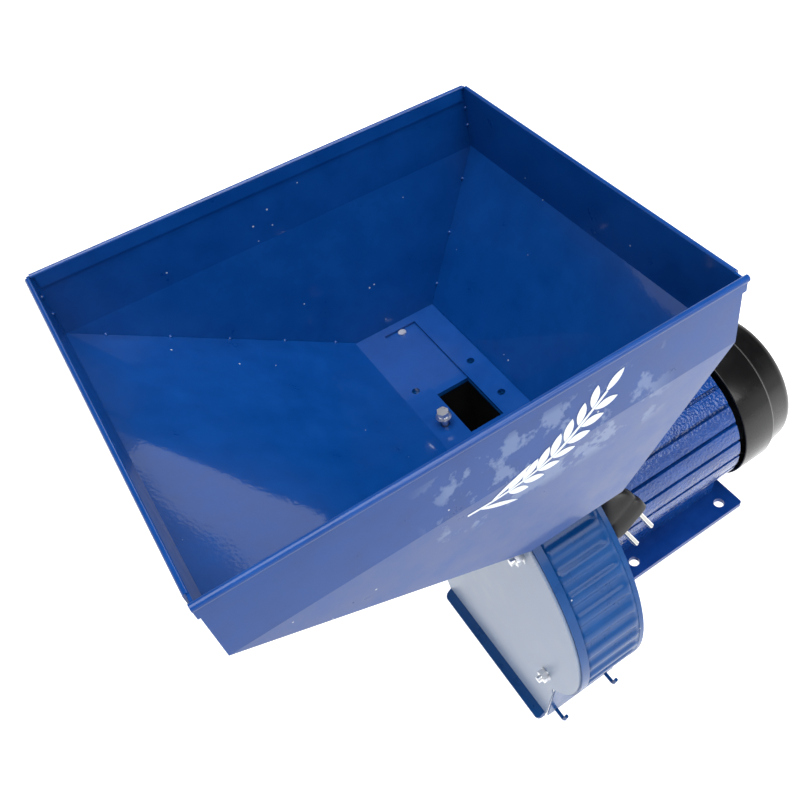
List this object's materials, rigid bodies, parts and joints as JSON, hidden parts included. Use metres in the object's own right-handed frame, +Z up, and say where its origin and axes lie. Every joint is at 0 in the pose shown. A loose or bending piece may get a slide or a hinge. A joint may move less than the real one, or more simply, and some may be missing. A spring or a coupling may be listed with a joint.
{
  "type": "hammer mill",
  "caption": "Electric hammer mill: folded sheet hopper with a sliding feed gate over a ribbed round milling drum, driven directly by a finned motor on a foot plate.",
  "frame": {"origin": "centre of the four foot holes on the underside of the motor's foot plate", "axes": "+X along the shaft from the milling drum to the fan, +Y to the side where the feed gate is pulled out, +Z up"},
  "size_m": [0.5019, 0.402, 0.5222],
  "materials": {
    "hopper_paint": "glossy blue enamel on folded sheet",
    "drum_paint": "glossy blue enamel on pressed sheet",
    "motor_paint": "glossy blue paint over a rough casting",
    "foot_paint": "glossy blue paint on plate",
    "cover_zinc": "pale grey coated sheet",
    "bright_zinc": "bright zinc plated fasteners",
    "bare_steel": "machined steel",
    "hammer_steel": "hardened steel, ground faces",
    "bearing_steel": "polished bearing steel",
    "lamination": "stacked electrical steel",
    "copper_wire": "varnished copper wire",
    "fan_plastic": "moulded plastic",
    "cowl_black": "semi-gloss black enamel",
    "box_black": "moulded plastic",
    "block_cream": "moulded plastic",
    "capacitor_white": "moulded plastic can",
    "cord_black": "smooth sheath",
    "plug_black": "moulded plug",
    "tie_white": "plastic strap",
    "pin_chrome": "nickel plated"
  },
  "bodies": {
    "frame": {"base_bar": "drum_paint", "cable_gland": "box_black", "capacitor": "capacitor_white", "capacitor_clamp": "bright_zinc", "coil_tie": "tie_white", "cord_coil": "cord_black", "cord_lead": "cord_black", "cord_tail": "cord_black", "cover_nuts": "bright_zinc", "cover_studs": "bright_zinc", "drum_back_plate": "drum_paint", "drum_front_rim": "drum_paint", "drum_shell": "drum_paint", "fan_cover": "cowl_black", "feed_chute": "drum_paint", "flange_screws": "bright_zinc", "foot_plate": "foot_paint", "front_bearing": "bearing_steel", "front_cover": "cover_zinc", "front_end_shield": "motor_paint", "gate_guides": "drum_paint", "hopper_bolt": "bright_zinc", "hopper_bottom_strip": "hopper_paint", "hopper_far_wall": "hopper_paint", "hopper_left_panel": "hopper_paint", "hopper_near_wall": "hopper_paint", "hopper_right_panel": "hopper_paint", "lid_screws": "bright_zinc", "motor_frame": "motor_paint", "outlet_skirt": "drum_paint", "plug_body": "plug_black", "plug_pins": "pin_chrome", "rear_bearing": "bearing_steel", "rear_end_shield": "motor_paint", "sack_hooks": "drum_paint", "screen": "bare_steel", "seam_tacks": "hopper_paint", "stator_core": "lamination", "stator_windings": "copper_wire", "terminal_block": "block_cream", "terminal_box": "box_black", "terminal_lid": "box_black", "throat_flange": "drum_paint"},
    "gate": {"gate_plate": "hopper_paint", "gate_stop_rivet": "bright_zinc"},
    "rotor": {"motor_shaft": "bare_steel", "rotor_core": "lamination", "fan": "fan_plastic", "rotor_hub": "bare_steel", "hammer_pins": "bare_steel", "pin_spacers": "bare_steel", "rotor_nut": "bright_zinc"},
    "hammer_a": {"hammer_1": "hammer_steel"},
    "hammer_b": {"hammer_2": "hammer_steel"},
    "hammer_c": {"hammer_3": "hammer_steel"},
    "hammer_d": {"hammer_4": "hammer_steel"}
  },
  "joints": [
    {"name": "rotor_spin", "type": "hinge", "parent": "frame", "child": "rotor", "pos_m": [0, 0, 0.08], "axis": [1, 0, 0], "continuous": true},
    {"name": "gate_slide", "type": "slide", "parent": "frame", "child": "gate", "axis": [0, -1, 0], "range_m": [0, 0.048]},
    {"name": "hammer_a_swing", "type": "hinge", "parent": "rotor", "child": "hammer_a", "pos_m": [-0.148, 0.03394, 0.11394], "axis": [1, 0, 0], "range_deg": [-2, 195]},
    {"name": "hammer_b_swing", "type": "hinge", "parent": "rotor", "child": "hammer_b", "pos_m": [-0.148, -0.03394, 0.11394], "axis": [1, 0, 0], "range_deg": [-195, 2]},
    {"name": "hammer_c_swing", "type": "hinge", "parent": "rotor", "child": "hammer_c", "pos_m": [-0.148, -0.03394, 0.04606], "axis": [1, 0, 0], "range_deg": [-105, 15]},
    {"name": "hammer_d_swing", "type": "hinge", "parent": "rotor", "child": "hammer_d", "pos_m": [-0.148, 0.03394, 0.04606], "axis": [1, 0, 0], "range_deg": [-15, 105]}
  ]
}
